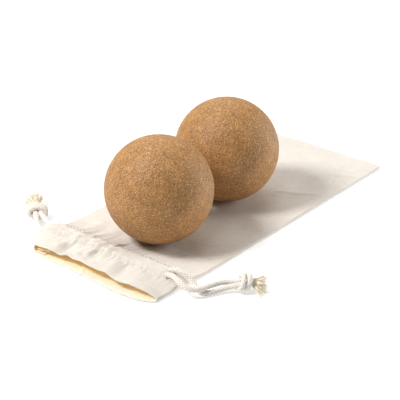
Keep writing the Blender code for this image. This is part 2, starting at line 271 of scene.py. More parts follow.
def cork_material():
    """Agglomerated cork: pressed granules of many tans, with cream flecks and dark bark specks."""
    material, shader, nodes = new_material("cork", (0.40, 0.21, 0.08), 0.6)
    shader.inputs["Specular IOR Level"].default_value = 0.35
    _, granule = nodes.grains(0.75)
    tans = nodes.ramp(granule["Red"], [
        (0.0, (0.34, 0.160, 0.049)),
        (0.4, (0.40, 0.199, 0.066)),
        (0.75, (0.455, 0.237, 0.083)),
        (1.0, (0.54, 0.299, 0.113)),
    ])
    fine_distance, fine = nodes.grains(0.5)
    flecks = nodes.mask(fine["Green"], 0.935, 0.965)
    with_flecks = nodes.mix(nodes.maths("MULTIPLY", flecks, 0.6), tans, (0.80, 0.59, 0.36))
    specks = nodes.mask(fine["Blue"], 0.905, 0.94)
    with_specks = nodes.mix(nodes.maths("MULTIPLY", specks, 0.85), with_flecks, (0.13, 0.060, 0.028))
    clouds = nodes.noise(9.0, detail=4.0)
    cloud_tone = nodes.ramp(clouds, [(0.3, (0.86, 0.84, 0.82)), (0.7, (1.10, 1.10, 1.10))])
    toned = nodes.mix(1.0, with_specks, cloud_tone, "MULTIPLY")
    nodes.link(toned, shader.inputs["Base Color"])
    polish = nodes.maths("MULTIPLY", nodes.mask(clouds, 0.0, 1.0), 0.12)
    nodes.link(nodes.maths("ADD", polish, 0.52), shader.inputs["Roughness"])
    grain_relief = nodes.bump(fine_distance, 0.10, 0.7)
    pores = nodes.noise(0.5, detail=5.0, roughness=0.7)
    nodes.link(nodes.bump(pores, 0.16, 0.6, grain_relief), shader.inputs["Normal"])
    return material


def calico_material(name, colour, shade, glow=False):
    """Plain-weave unbleached cotton: two thread directions, slubs, and a few brown seed flecks.

    With glow, painted light: inwards from the mouth the cloth's colour is tinted golden and the cloth glows a
    little, standing for daylight that has come through the cloth.
    """
    material, shader, nodes = new_material(name, colour, 0.9)
    shader.inputs["Specular IOR Level"].default_value = 0.15
    shader.inputs["Sheen Weight"].default_value = 0.25
    shader.inputs["Sheen Roughness"].default_value = 0.5
    warp = nodes.noise(0.42, detail=2.0, stretch=(0.06, 1.0, 1.0))
    weft = nodes.noise(0.42, detail=2.0, stretch=(1.0, 0.06, 1.0))
    threads = nodes.maths("ADD", warp, weft)
    thread_tone = nodes.ramp(nodes.mask(threads, 0.75, 1.25), [(0.0, shade), (1.0, colour)])
    clouds = nodes.noise(14.0, detail=4.0)
    blotches = nodes.ramp(clouds, [(0.3, (0.955, 0.945, 0.93)), (0.7, (1.0, 1.0, 1.0))])
    cloth_tone = nodes.mix(1.0, thread_tone, blotches, "MULTIPLY")
    _, seed = nodes.grains(1.4)
    seeds = nodes.mask(seed["Red"], 0.985, 0.995)
    flecked = nodes.mix(nodes.maths("MULTIPLY", seeds, 0.22), cloth_tone, (0.55, 0.42, 0.28))
    if glow:
        along = nodes.add("ShaderNodeSeparateXYZ")
        nodes.link(nodes.millimetres(), along.inputs["Vector"])
        glow_from, glow_to = (MOUTH_X / MM + depth for depth in MOUTH_GLOW_DEPTH)
        inwards = nodes.mask(along.outputs["X"], glow_from, glow_to)
        # painted light: a golden tint, multiplied into the colour inwards from the mouth, for light that
        # comes through the cloth
        painted_glow_tint = nodes.ramp(inwards, [
            (0.0, (1.0, 1.0, 0.98)),
            (0.4, (1.0, 0.95, 0.82)),
            (1.0, (1.0, 0.89, 0.66)),
        ])
        flecked = nodes.mix(1.0, flecked, painted_glow_tint, "MULTIPLY")
        # painted glow: the cloth gives out a little golden light inwards from the mouth, for the same light
        daylight = nodes.ramp(inwards, [
            (0.0, (0.3, 0.25, 0.15)),
            (0.5, (1.0, 0.72, 0.32)),
            (1.0, (1.0, 0.68, 0.26)),
        ])
        nodes.link(daylight, shader.inputs["Emission Color"])
        shader.inputs["Emission Strength"].default_value = MOUTH_GLOW
    nodes.link(flecked, shader.inputs["Base Color"])
    weave = nodes.bump(threads, 0.10, 0.5)
    nodes.link(nodes.bump(nodes.noise(3.0, detail=4.0), 0.35, 0.35, weave), shader.inputs["Normal"])
    return material


def cotton_material(name, colour, shade, lump):
    """Soft undyed cotton yarn, for cords and their frayed ends, with painted shade in the braid's grooves."""
    material, shader, nodes = new_material(name, colour, 0.92)
    shader.inputs["Specular IOR Level"].default_value = 0.12
    shader.inputs["Sheen Weight"].default_value = 0.45
    shader.inputs["Sheen Roughness"].default_value = 0.45
    tone = nodes.ramp(nodes.noise(lump, detail=4.0, roughness=0.6), [(0.35, shade), (0.62, colour)])
    # painted shade: the deeper a vertex lies between the yarns, the darker its colour
    groove = nodes.add("ShaderNodeAttribute", attribute_name="groove")
    hollow = nodes.mask(groove.outputs["Fac"], 0.38, 0.95)
    painted_groove_shade = tuple(part * dim for part, dim in zip(shade, GROOVE_PAINTED_SHADE))
    nodes.link(nodes.mix(hollow, tone, painted_groove_shade), shader.inputs["Base Color"])
    nodes.link(nodes.bump(nodes.noise(0.22, detail=4.0, roughness=0.7), 0.10, 0.6), shader.inputs["Normal"])
    return material


def thread_material(name, colour, shade):
    """Spun sewing thread."""
    material, shader, nodes = new_material(name, colour, 0.65)
    shader.inputs["Sheen Weight"].default_value = 0.2
    twist = nodes.noise(0.35, detail=3.0)
    nodes.link(nodes.ramp(twist, [(0.3, shade), (0.7, colour)]), shader.inputs["Base Color"])
    nodes.link(nodes.bump(twist, 0.05, 0.6), shader.inputs["Normal"])
    return material


# ---------------------------------------------------------------- making objects

def add_smooth(name, mesh, material):
    mesh.materials.append(material)
    mesh.shade_smooth()
    obj = bpy.data.objects.new(name, mesh)
    bpy.context.scene.collection.objects.link(obj)
    return obj


def add_mesh(name, vertices, faces, material):
    mesh = bpy.data.meshes.new(name)
    mesh.from_pydata([tuple(v) for v in vertices], [], [tuple(f) for f in faces])
    return add_smooth(name, mesh, material)


def join_surfaces(surfaces):
    """One list of vertices and one of faces, from several (vertices, faces) pairs."""
    vertices, faces = [], []
    for some_vertices, some_faces in surfaces:
        start = len(vertices)
        vertices.extend(some_vertices)
        faces.extend([index + start for index in face] for face in some_faces)
    return vertices, faces


ROUTE_STEPS = 24            # fine points between two of a route's own points


def smooth_route(points, samples):
    """Points on a Catmull-Rom curve through the route's own points, evenly spaced by length."""
    places = np.array(points, float)
    ends = np.vstack([2 * places[0] - places[1], places, 2 * places[-1] - places[-2]])
    fine = []
    for before, start, end, after in zip(ends, ends[1:], ends[2:], ends[3:]):
        for t in np.linspace(0.0, 1.0, ROUTE_STEPS, endpoint=False):
            fine.append(
                0.5 * (
                    2 * start
                    + (end - before) * t
                    + (2 * before - 5 * start + 4 * end - after) * t ** 2
                    + (3 * start - before - 3 * end + after) * t ** 3
                )
            )
    fine.append(places[-1])
    return evenly(np.array(fine), samples)


def evenly(line, samples):
    """The same line with its points evenly spaced by length."""
    travelled = np.concatenate([[0.0], np.cumsum(np.linalg.norm(np.diff(line, axis=0), axis=1))])
    at = np.linspace(0.0, travelled[-1], samples)
    return np.column_stack([np.interp(at, travelled, line[:, axis]) for axis in range(3)])


def route_length(points):
    return float(np.linalg.norm(np.diff(np.array(points), axis=0), axis=1).sum())


def carried_frames(line):
    """Two directions across the line at each point, carried along it without twisting."""
    tangents = np.gradient(line, axis=0)
    tangents /= np.linalg.norm(tangents, axis=1)[:, None]
    seed = np.array([0.0, 0.0, 1.0]) if abs(tangents[0][2]) < 0.9 else np.array([1.0, 0.0, 0.0])
    across = seed - tangents[0] * (seed @ tangents[0])
    sides = []
    for tangent in tangents:
        across = across - tangent * (across @ tangent)
        across = across / np.linalg.norm(across)
        sides.append(across)
    sides = np.array(sides)
    return sides, np.cross(tangents, sides)


def add_grooves(obj, depths):
    """Keeps how deep each vertex lies between the yarns, for the painted shade in the cotton's grooves."""
    groove = obj.data.attributes.new("groove", "FLOAT", "POINT")
    groove.data.foreach_set("value", depths)


def tube_surface(line, radii, around):
    """A tube along the line, capped at both ends. radii is one number for each point and direction."""
    sides, ups = carried_frames(line)
    angles = np.linspace(0.0, 2 * math.pi, around, endpoint=False)
    cosines, sines = np.cos(angles), np.sin(angles)
    rings = (
        line[:, None, :]
        + sides[:, None, :] * (radii * cosines)[:, :, None]
        + ups[:, None, :] * (radii * sines)[:, :, None]
    )
    vertices = rings.reshape(-1, 3).tolist()
    faces = []
    for here in range(0, (len(line) - 1) * around, around):
        beyond = here + around
        for step in range(around):
            right = (step + 1) % around
            faces.append([here + step, here + right, beyond + right, beyond + step])
    for ring, end, flip in ((0, line[0], True), (len(line) - 1, line[-1], False)):
        vertices.append(list(end))
        for step in range(around):
            edge = [ring * around + step, ring * around + (step + 1) % around]
            faces.append([*(edge[::-1] if flip else edge), len(vertices) - 1])
    return vertices, faces


BRAID_YARNS = 5
BRAID_CELL = 1.9 * MM      # one yarn crossing, along the cord
BRAID_RELIEF = 0.28        # of the cord's radius
BRAID_RING_STEP = 0.2 * MM
CORD_AROUND = 36


def braided_surface(line):
    """A round braid: two families of yarn wind round the cord opposite ways and take turns on top."""
    travelled = np.linspace(0.0, route_length(line), len(line))[:, None]
    turn = np.linspace(0.0, 1.0, CORD_AROUND, endpoint=False)[None, :]
    one_way = BRAID_YARNS * turn + travelled / BRAID_CELL
    other_way = BRAID_YARNS * turn - travelled / BRAID_CELL
    over = (np.floor(one_way) + np.floor(other_way)) % 2 == 0
    across = np.where(over, one_way % 1.0, other_way % 1.0)
    along = np.where(over, other_way % 1.0, one_way % 1.0)
    height = np.sin(math.pi * across) ** 0.7 * (0.45 + 0.55 * np.sin(math.pi * along))
    radii = CORD_RADIUS * (1.0 - 0.4 * BRAID_RELIEF + BRAID_RELIEF * height)
    depths = np.concatenate([(1.0 - height).ravel(), [1.0, 1.0]])
    return tube_surface(line, radii, CORD_AROUND), depths


def add_braid(name, line, material):
    surface, depths = braided_surface(line)
    braid = add_mesh(name, *surface, material)
    add_grooves(braid, depths)
    return braid


def braid_samples(points):
    return int(route_length(smooth_route(points, 200)) / BRAID_RING_STEP)


# ---------------------------------------------------------------- drawcords

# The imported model's routes, each with one more point inside its knot.
LANE_BODY_X = -0.0877
RIGHT_UPPER_ROUTE = [
    (-0.0923, -0.0404, 0.0069),
    (-0.0924, -0.0433, 0.0076),
    (-0.0931, -0.0467, 0.0087),
    (-0.0943, -0.0504, 0.0088),
    (-0.0956, -0.0547, 0.0079),
    (-0.0957, -0.0591, 0.0066),
    (-0.0939, -0.0628, 0.0056),
    (-0.0902, -0.0652, 0.0053),
    (-0.0855, -0.0664, 0.0052),
    (-0.0808, -0.0671, 0.0046),
    (-0.0767, -0.0685, 0.0045),
    (-0.0735, -0.0715, 0.0047),
    (-0.0711, -0.0751, 0.0049),
    (-0.0675, -0.0778, 0.0049),
]
RIGHT_LOWER_ROUTE = [
    (-0.0882, -0.0418, 0.0083),
    (-0.0879, -0.0450, 0.0094),
    (-0.0877, -0.0488, 0.0093),
    (-0.0872, -0.0525, 0.0080),
    (-0.0868, -0.0558, 0.0060),
    (-0.0870, -0.0588, 0.0039),
    (-0.0879, -0.0615, 0.0024),
    (-0.0882, -0.0637, 0.0019),
    (-0.0877, -0.0657, 0.0018),
    (-0.0865, -0.0674, 0.0018),
    (-0.0847, -0.0687, 0.0018),
    (-0.0815, -0.0702, 0.0021),
    (-0.0782, -0.0722, 0.0027),
    (-0.0756, -0.0748, 0.0035),
    (-0.0734, -0.0777, 0.0043),
    (-0.0694, -0.0806, 0.0048),
]
LEFT_UPPER_ROUTE = [
    (LANE_BODY_X, 0.0423, 0.0069),
    (LANE_BODY_X, 0.0470, 0.0069),
    (-0.0874, 0.0515, 0.0068),
    (-0.0863, 0.0552, 0.0061),
    (-0.0842, 0.0594, 0.0053),
    (-0.0814, 0.0641, 0.0048),
    (-0.0789, 0.0693, 0.0049),
    (-0.0761, 0.0731, 0.0049),
]
LEFT_LOWER_ROUTE = [
    (LANE_BODY_X, 0.0423, 0.0022),
    (LANE_BODY_X, 0.0470, 0.0022),
    (-0.0881, 0.0518, 0.0022),
    (-0.0893, 0.0563, 0.0022),
    (-0.0892, 0.0606, 0.0024),
    (-0.0869, 0.0650, 0.0030),
    (-0.0837, 0.0688, 0.0040),
    (-0.0812, 0.0715, 0.0047),
    (-0.0783, 0.0756, 0.0049),
]
UP = Vector((0.0, 0.0, 1.0))
KNOT_HEADINGS = {"right": Vector((0.80, -0.60, 0.0)), "left": Vector((0.63, 0.777, 0.0)).normalized()}
KNOT_HEIGHTS = {"right": 3.7 * MM, "left": 2.9 * MM}
KNOT_LIFTS = {"right": 0.55 * MM, "left": 0.0}
KNOT_HALF = 4.0 * MM
KNOT_TURNS = 2.25
KNOT_START = math.radians(-150.0)
KNOT_PITCH = 3.5 * MM
KNOT_LEAN = 0.9 * MM
KNOT_WIDE = 5.0 * MM
KNOT_TUCKED_WIDE = 2.0 * MM         # the wraps' ends lie this close to the knot's middle
KNOT_TUCKED_HIGH = 1.2 * MM
KNOT_TUCKS = 7.0                    # each end is tucked in over one seventh of the length
KNOT_SAMPLES = 230

FRAY_HEADINGS = {
    "right": Vector((0.46, -0.88, -0.04)).normalized(),
    "left": Vector((0.58, 0.79, 0.10)).normalized(),
}
FRAY_LENGTHS = {"right": 10.0 * MM, "left": 18.5 * MM}
FRAY_FANS = {"right": 0.85, "left": 0.38}
FRAY_SEEDS = {"right": 11, "left": 23}
FRAY_ROOT_WIDE = 1.7 * MM
FRAY_ROOT_HIGH = 1.3 * MM
FRAY_DROOP = 1.2 * MM
FRAY_LOCKS = 29
FRAY_YARNS = 17 * FRAY_LOCKS
YARN_AROUND = 5
GOLDEN_TURN = math.pi * (3.0 - math.sqrt(5.0))      # spreads the locks evenly


def loose_strand(name, points, node, material):
    """One loose strand of a drawcord, as a braid along its route."""
    line = smooth_route(points, braid_samples(points))
    strand = add_braid(name, line, material)
    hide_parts(node)
    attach(strand, "pouch")
    return strand, line


def knot_wraps(side, material):
    """The doubled cord's overhand knot: two wraps side by side, leaning a little, ends tucked in."""
    centre = middle_of(side + "_knot") + UP * KNOT_LIFTS[side]
    heading = KNOT_HEADINGS[side]
    across = heading.cross(UP)
    points = []
    for t in np.linspace(0.0, 1.0, KNOT_SAMPLES).tolist():
        angle = KNOT_START + KNOT_TURNS * 2 * math.pi * t
        tuck = min(1.0, KNOT_TUCKS * t, KNOT_TUCKS * (1.0 - t))
        wide = KNOT_TUCKED_WIDE + (KNOT_WIDE - KNOT_TUCKED_WIDE) * tuck
        high = KNOT_TUCKED_HIGH + (KNOT_HEIGHTS[side] - KNOT_TUCKED_HIGH) * tuck
        along = (t - 0.5) * KNOT_TURNS * KNOT_PITCH + KNOT_LEAN * math.sin(angle)
        place = centre + heading * along + across * wide * math.cos(angle) + UP * high * math.sin(angle)
        points.append(tuple(place))
    line = evenly(np.array(points), KNOT_SAMPLES)
    knot = add_braid(side + "_knot_wraps", line, material)
    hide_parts(side + "_knot")
    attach(knot, "pouch")
    return knot


def frayed_end(side, material):
    """The cord's unlaid yarns past the knot, in locks that fan out and droop. Every fifth is loose."""
    draw = random.Random(FRAY_SEEDS[side])
    heading = FRAY_HEADINGS[side]
    across = heading.cross(UP).normalized()
    up = across.cross(heading)
    base = middle_of(side + "_knot") + KNOT_HEADINGS[side] * KNOT_HALF / 2
    locks = []
    for lock in range(FRAY_LOCKS):
        angle = GOLDEN_TURN * lock + 0.3 * draw.random()
        spread = math.sqrt((lock + 0.5) / FRAY_LOCKS)
        reach = FRAY_LENGTHS[side] * draw.uniform(0.84, 1.0)
        curl = Vector((draw.gauss(0.0, 1.0), draw.gauss(0.0, 1.0), draw.gauss(0.0, 0.5))) * 0.10
        locks.append((angle, spread, reach, curl))
    surfaces = []
    for yarn in range(FRAY_YARNS):
        angle, spread, reach, curl = locks[yarn % FRAY_LOCKS]
        loose = yarn % 5 == 0
        thick = (0.08 if loose else 0.14) * MM
        wander = 0.16 if loose else 0.045
        start = base + across * FRAY_ROOT_WIDE * spread * math.cos(angle)
        start += up * FRAY_ROOT_HIGH * spread * math.sin(angle)
        start += (across * draw.uniform(-1.0, 1.0) + up * draw.uniform(-1.0, 1.0)) * 0.22 * MM
        reach *= draw.uniform(0.82, 1.06)
        fan = across * (FRAY_FANS[side] * spread * math.cos(angle) + draw.gauss(0.0, wander))
        lift = up * (0.30 * spread * math.sin(angle) + draw.gauss(0.0, wander * 0.7))
        points = []
        for step in range(9):
            t = step / 8
            place = start + (heading + (fan + lift) * t ** 0.7 + curl * t * t) * reach * t
            place.z = max(place.z - FRAY_DROOP * t * t, thick + 0.05 * MM)
            points.append(tuple(place))
        line = smooth_route(points, 14)
        taper = np.linspace(1.0, 0.6, len(line))[:, None] * np.full((1, YARN_AROUND), thick)
        surfaces.append(tube_surface(line, taper, YARN_AROUND))
    fray = add_mesh(side + "_fray", *join_surfaces(surfaces), material)
    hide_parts(side + "_frayed_end")
    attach(fray, "pouch")
    return fray


def build_drawcords():
    cotton = cotton_material("cotton cord", (0.95, 0.91, 0.85), (0.88, 0.82, 0.74), 0.9)
    # Partly painted shade: the frayed yarn's tone varies at random from cream to a golden tone, and the
    # golden stands for the shade between the fibres.
    yarn = cotton_material("frayed yarn with painted shade", (1.0, 0.95, 0.86), (0.95, 0.80, 0.55), 1.1)
    for node in ("right_drawcord", "left_drawcord"):
        frame["nodes"][node].data.materials.clear()
        frame["nodes"][node].data.materials.append(cotton)
    for side, routes in (
        ("right", (("upper", RIGHT_UPPER_ROUTE), ("lower", RIGHT_LOWER_ROUTE))),
        ("left", (("upper", LEFT_UPPER_ROUTE), ("lower", LEFT_LOWER_ROUTE))),
    ):
        knot = knot_wraps(side, cotton)
        fray = frayed_end(side, yarn)
        for level, points in routes:
            name = f"{side}_strand_{level}"
            strand, line = loose_strand(name + "_braid", points, name, cotton)


# ---------------------------------------------------------------- balls

BALL_SUBDIVISIONS = 7


def cork_ball(node, seed, material):
    """A sanded cork sphere, with granules standing a hair proud and small open pores."""
    low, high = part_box(node)
    radius = (high[2] - low[2]) / 2
    shape = bmesh.new()
    bmesh.ops.create_icosphere(shape, subdivisions=BALL_SUBDIVISIONS, radius=radius)
    offset = Vector((seed * 13.7, seed * 5.1, seed * 9.3))
    for vertex in shape.verts:
        place = vertex.co / MM + offset
        grain = noise.noise(place * 0.75) * 0.035 + noise.noise(place * 0.12) * 0.05
        pore = max(0.0, noise.noise(place * 0.55 + offset) - 0.48) * 0.8
        vertex.co *= 1.0 + (grain - pore) * MM / radius
    mesh = bpy.data.meshes.new(node + "_cork")
    shape.to_mesh(mesh)
    shape.free()
    ball = add_smooth(node + "_cork", mesh, material)
    ball.location = middle_of(node)
    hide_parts(node)
    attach(ball, node)


def build_balls():
    material = cork_material()
    for seed, node in enumerate(("ball_front", "ball_rear"), start=1):
        cork_ball(node, seed, material)


# ---------------------------------------------------------------- pouch cloth

# The pouch is one sheet that runs from the closed end to the mouth, turns inwards at the lip and ends at
# the inner stitch line. It is worked out in millimetres, as rings across the pouch, one after the other.
INNER_STITCH = INNER_STITCH_X / MM
STITCH_LINE = INNER_STITCH - 0.2        # where the inner row shows, in the crease beside the channel
OUTER_STITCH = OUTER_STITCH_X / MM
CLOSED = CLOSED_X / MM
FRONT_LIP = FRONT_LIP_X / MM
HINGE = HINGE_X / MM
SIDE = BODY_SIDE / MM
BALL_FEET = [middle_of(node) / MM for node in ("ball_front", "ball_rear")]
THICKNESS = 0.35
BODY_FRONT = 1.42           # how high the inside faces of the front and the back lie in the pouch's body
BODY_BACK = 0.42
HEM_GAP = 0.2
FRONT_HEM_TOP = 5.2         # in the channel the front's turned-in hem passes under the front cord

# Each profile is a list of (place, value) pairs: how high the front rises along the pouch, how much of
# that it keeps across the pouch, how far each side stands out, and where each lip ends.
CHANNEL_RISE = [
    (-104.0, 0.0), (-98.0, 1.7), (-95.3, 3.3), (-94.6, 4.6), (-93.7, 6.8), (-92.3, 7.2), (-90.0, 7.1),
    (-87.7, 7.1), (-86.9, 6.9), (-86.3, 6.5), (-85.9, 6.1), (-85.4, 5.9), (-84.9, 6.0), (-83.8, 5.7),
    (-82.0, 4.9), (-79.0, 3.6), (-75.0, 2.3), (-70.0, 1.25), (-64.0, 0.5), (-57.0, 0.0),
]
LIP_RISE = [(-111.0, 5.6), (-104.0, 4.7), (-98.0, 3.3), (-95.0, 1.7), (-93.5, 0.5), (-92.0, 0.0)]
CHANNEL_ACROSS = [(-50.0, 0.3), (-45.5, 0.6), (-41.0, 1.0), (25.0, 1.02), (42.0, 1.08), (50.0, 1.05)]
LIP_ACROSS = [
    (-50.0, 0.08), (-47.5, 0.28), (-44.0, 0.5), (-38.0, 0.72), (-30.0, 0.85), (-10.0, 0.97), (7.0, 1.0),
    (24.0, 1.0), (40.0, 0.9), (47.0, 0.65),
]
RIGHT_SIDE = [(-112.0, 49.8), (-100.0, 50.0), (-88.0, 50.3), (-80.0, 50.6), (-70.0, SIDE), (100.0, SIDE)]
LEFT_SIDE = [
    (-112.0, 44.8), (-108.0, 46.8), (-105.0, 49.3), (-101.5, 52.0), (-98.0, 53.0), (-94.0, 52.6),
    (-90.0, 51.2), (-86.0, 49.2), (-82.0, 48.7), (-77.0, 49.8), (-70.0, 51.2), (-64.0, SIDE), (100.0, SIDE),
]
FRONT_LIP_LINE = [
    (-50.0, -109.2), (-44.0, -109.6), (-36.0, -111.4), (-25.0, -112.3), (-13.0, -111.0), (-1.0, -111.6),
    (8.0, -110.0), (17.0, -108.8), (29.0, -110.6), (42.0, -110.8), (46.0, -109.0),
]
BACK_LIP_LINE = [
    (-50.0, -109.2), (-46.0, -113.0), (-40.0, -115.6), (-28.0, -116.2), (-16.0, -116.0), (1.0, -113.7),
    (22.0, -112.5), (37.0, -112.4), (44.0, -110.0),
]
BACK_HEM_RISE = [(-95.2, 0.0), (-94.2, 3.2), (-87.0, 3.2), (-85.6, 0.0)]
# Folds pressed or pulled into the front: from (x, y) to (x, y), then half width and height.
FOLDS = [
    ((-101.0, 45.0), (-88.0, 44.5), 3.5, 0.7),
    ((-103.0, 31.5), (-89.0, 24.5), 1.9, 1.4),
    ((-109.0, 24.0), (-101.0, 25.0), 2.4, -2.3),
    ((-99.0, 33.5), (-92.4, 30.0), 1.5, -0.9),
    ((-104.6, 15.5), (-88.5, 12.1), 1.8, 1.4),
    ((-105.3, 6.6), (-95.6, 5.6), 2.0, -1.5),
    ((-101.0, 10.6), (-88.4, 7.4), 1.4, 1.2),
    ((-97.0, 19.2), (-92.0, 17.2), 1.2, -1.0),
    ((-96.5, 1.5), (-88.0, -2.4), 1.4, 1.0),
    ((-98.0, -4.5), (-89.5, -8.5), 1.4, 0.6),
    ((-93.0, -1.6), (-89.5, -3.2), 1.0, -0.6),
    ((-108.2, -19.0), (-98.5, -17.2), 2.6, -1.4),
    ((-111.8, -12.0), (-98.0, -9.3), 2.2, 1.0),
    ((-108.0, -30.0), (-97.0, -27.0), 3.0, 0.5),
    ((-82.0, 38.0), (-66.0, 43.0), 3.0, -0.6),
    ((-82.0, 33.0), (-60.0, 36.0), 2.6, 0.7),
    ((-82.0, 27.0), (-68.0, 27.5), 2.8, -0.6),
    ((-82.0, 21.5), (-64.0, 21.0), 2.4, 0.7),
    ((-82.0, 16.0), (-68.0, 14.0), 2.8, -0.6),
    ((-82.0, 10.0), (-66.0, 7.0), 2.2, 0.5),
    ((-82.0, -12.0), (-70.0, -15.0), 2.6, 0.4),
    ((41.5, -21.5), (52.0, -42.0), 1.3, 0.4),
    ((83.0, -34.8), (89.0, -47.0), 1.5, 0.4),
    ((24.0, -16.0), (33.0, -22.0), 2.0, -0.3),
]
SLIT_Y = -43.9
SLIT_FROM, SLIT_TO = -94.4, -86.4
SLIT_HALF_WIDTH = 1.9
SLIT_CUT = 0.02             # half the width of the column that parts to make the slit
CHANNEL_END_FROM, CHANNEL_END_TO = -90.4, -85.6     # the side seam is open here for the left drawcord
BALL_CLEARANCE = 20.0       # the cloth lies flat this far round each ball's foot
CORNER_RADIUS = 3.0
HEADER_MIDDLE = 20.0        # the front lip is cut into a middle piece this far to each side, and a piece beyond it at each side

# The sheet's columns run round the pouch, and its rows along it.
FRONT_COLUMNS = 240
BACK_COLUMNS = 96
SIDE_COLUMNS = 8
SLIT_COLUMN = 12
END_ROWS = 5
BODY_ROWS = 150
MOUTH_ROWS = 125
TURN_ROWS = 4
HEM_ROWS = 46
FINER_FROM = -56.0          # the rows lie closer together from here to the mouth
END_CLOSING = 1.0           # front and back come together over this length at the closed end


def profile(points, blur):
    """A function that follows the points, rounded off over about the blur's distance."""
    places, values = np.array(points, float).T
    step = blur / 4
    fine = np.arange(places[0] - 4 * blur, places[-1] + 4 * blur, step)
    kernel = np.exp(-0.5 * (np.arange(-12, 13) / 4) ** 2)
    padded = np.pad(np.interp(fine, places, values), 12, mode="edge")
    rounded = np.convolve(padded, kernel / kernel.sum(), "valid")
    return lambda at: np.interp(at, fine, rounded)


channel_rise = profile(CHANNEL_RISE, 0.45)
lip_rise = profile(LIP_RISE, 1.5)
channel_across = profile(CHANNEL_ACROSS, 1.2)
lip_across = profile(LIP_ACROSS, 1.5)
right_side = profile(RIGHT_SIDE, 3.0)
left_side = profile(LEFT_SIDE, 1.2)
front_lip_line = profile(FRONT_LIP_LINE, 3.0)
back_lip_line = profile(BACK_LIP_LINE, 3.0)
back_hem_rise = profile(BACK_HEM_RISE, 0.4)


def waves(at, lengths, seed):
    """A sum of sine waves of the given lengths, each starting where the seed puts it; about -1 to 1."""
    draw = random.Random(seed)
    total = sum(np.sin(2 * math.pi * (at / length + draw.random())) for length in lengths)
    return total / math.sqrt(len(lengths)) / 1.2


def window(at, middle, spread):
    """1 at the middle, and less and less away from it."""
    return np.exp(-0.5 * ((at - middle) / spread) ** 2)


def gather_pull(x, y):
    """How far the gathers draw the cloth along the pouch, near the inner stitch line."""
    return 0.22 * waves(y, (5.2, 7.9, 12.3), 17) * window(x, INNER_STITCH, 6.0)


def fold(x, y, start, end, half_width, height):
    """A soft ridge or hollow from start to end."""
    along = np.array(end) - np.array(start)
    t = np.clip(((x - start[0]) * along[0] + (y - start[1]) * along[1]) / (along @ along), 0.0, 1.0)
    distance = np.hypot(x - start[0] - t * along[0], y - start[1] - t * along[1])
    return height * np.exp(-0.5 * (distance / half_width) ** 2)


def front_height(x, y):
    """The front cloth's inside face."""
    height = BODY_FRONT + channel_rise(x) * channel_across(y) + lip_rise(x) * lip_across(y)
    pull = 0.35 + 0.65 * window(y, 10.0, 20.0)
    gathers = waves(y - 0.12 * (x - INNER_STITCH), (4.4, 6.3, 9.1), 5)
    body_side = np.where(x > INNER_STITCH, window(x, INNER_STITCH, 8.0), window(x, INNER_STITCH, 3.6))
    height = height + 0.75 * pull * np.maximum(gathers, -0.35) * body_side
    small_gathers = waves(y + 0.2 * x, (3.4, 4.9), 8)
    height = height + 0.42 * pull * small_gathers * window(x, OUTER_STITCH - 0.6, 2.4)
    lip_waves = waves(y + 0.1 * x, (13.0, 21.0, 34.0), 12)
    height = height + 0.55 * lip_waves * np.clip((-98.0 - x) / 12.0, 0.0, 1.0) * lip_across(y)
    folds = sum(fold(x, y, *one) for one in FOLDS)
    slow = 0.16 * waves(x * 0.8 + y * 0.5, (23.0, 37.0, 61.0), 3)
    slow = slow + 0.12 * waves(y - 0.3 * x, (19.0, 31.0), 4)
    nearest = np.min([np.hypot(x - foot.x, y - foot.y) for foot in BALL_FEET], axis=0)
    free = np.clip((nearest - 0.4 * BALL_CLEARANCE) / BALL_CLEARANCE, 0.0, 1.0)
    return height + (folds + slow + 0.12) * free


def back_height(x, y):
    """The back cloth's inside face: flat on the table, its lip a little lifted and waved."""
    lip = np.clip((-103.0 - x) / 10.0, 0.0, 1.0) ** 1.5
    off_sides = np.clip((47.0 - np.abs(y)) / 10.0, 0.0, 1.0)
    return BODY_BACK + lip * (0.55 + 0.45 * waves(y, (17.0, 29.0), 21)) * off_sides


def front_hem_height(x, y):
    """The front's turned-in hem: under the cord in the channel, and close under the front elsewhere."""
    hem = front_height(x, y) - HEM_GAP
    between_stitches = OUTER_STITCH - 0.6 < x < STITCH_LINE - 0.2
    return np.minimum(hem, FRONT_HEM_TOP) if between_stitches else hem


def back_hem_height(x, y):
    """The back's turned-in hem: over the cord in the channel, and close over the back elsewhere."""
    bumps = 0.18 * waves(y + 0.4 * x, (6.0, 9.5, 15.0), 31) * np.clip((-97.0 - x) / 5.0, 0.0, 1.0)
    crease = fold(x, y, (-113.0, 3.0), (-106.0, 8.0), 0.7, 0.6)
    return back_height(x, y) + HEM_GAP + back_hem_rise(x) + np.maximum(bumps, -0.1) + crease


def opened_slit(x, y):
    """The same places across the front, drawn apart where the drawcord comes out."""
    half_length = (SLIT_TO - SLIT_FROM) / 2
    off_middle = (x - (SLIT_FROM + SLIT_TO) / 2) / half_length
    opening = SLIT_HALF_WIDTH * math.sqrt(max(0.0, 1.0 - off_middle ** 2))
    return y + np.sign(y - SLIT_Y) * opening * np.exp(-np.abs(y - SLIT_Y) / 2.0)


